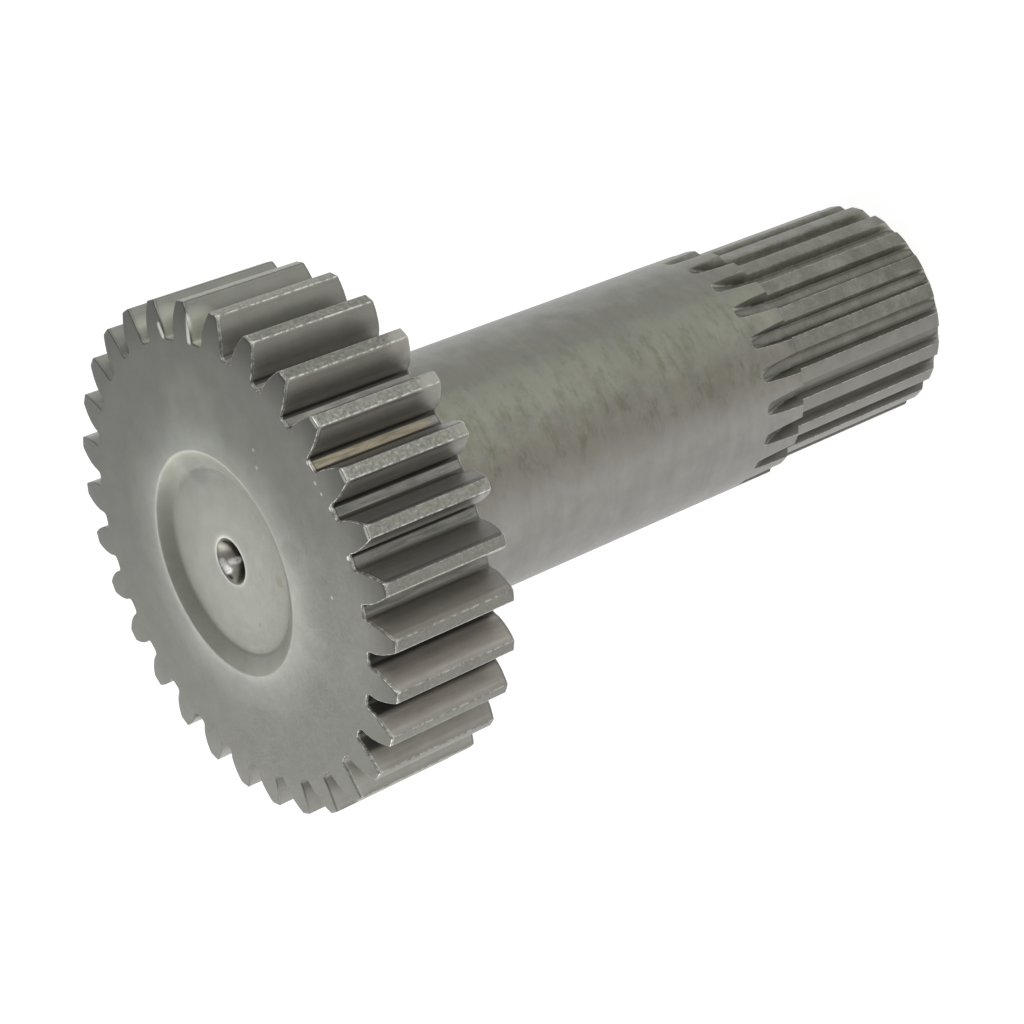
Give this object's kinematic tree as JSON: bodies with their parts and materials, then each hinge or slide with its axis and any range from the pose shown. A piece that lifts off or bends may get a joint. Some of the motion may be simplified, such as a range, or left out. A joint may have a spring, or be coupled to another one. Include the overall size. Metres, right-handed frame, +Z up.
{
  "type": "pinion shaft",
  "caption": "Steel pinion shaft: a spur-toothed head with a raised hub and dished recess, a long plain journal and a straight-sided spline that runs out in the journal.",
  "frame": {"origin": "centre of the splined end face, on which the shaft stands", "axes": "+Z up along the shaft from the splined end to the toothed head, +X through the middle of a head tooth and of a spline space"},
  "size_m": [0.096, 0.0956, 0.1653],
  "materials": {
    "steel": "matte hardened and oiled steel, ground journal, rubbed tooth flanks"
  },
  "bodies": {
    "root": {"pinion_shaft": "steel"}
  },
  "joints": []
}
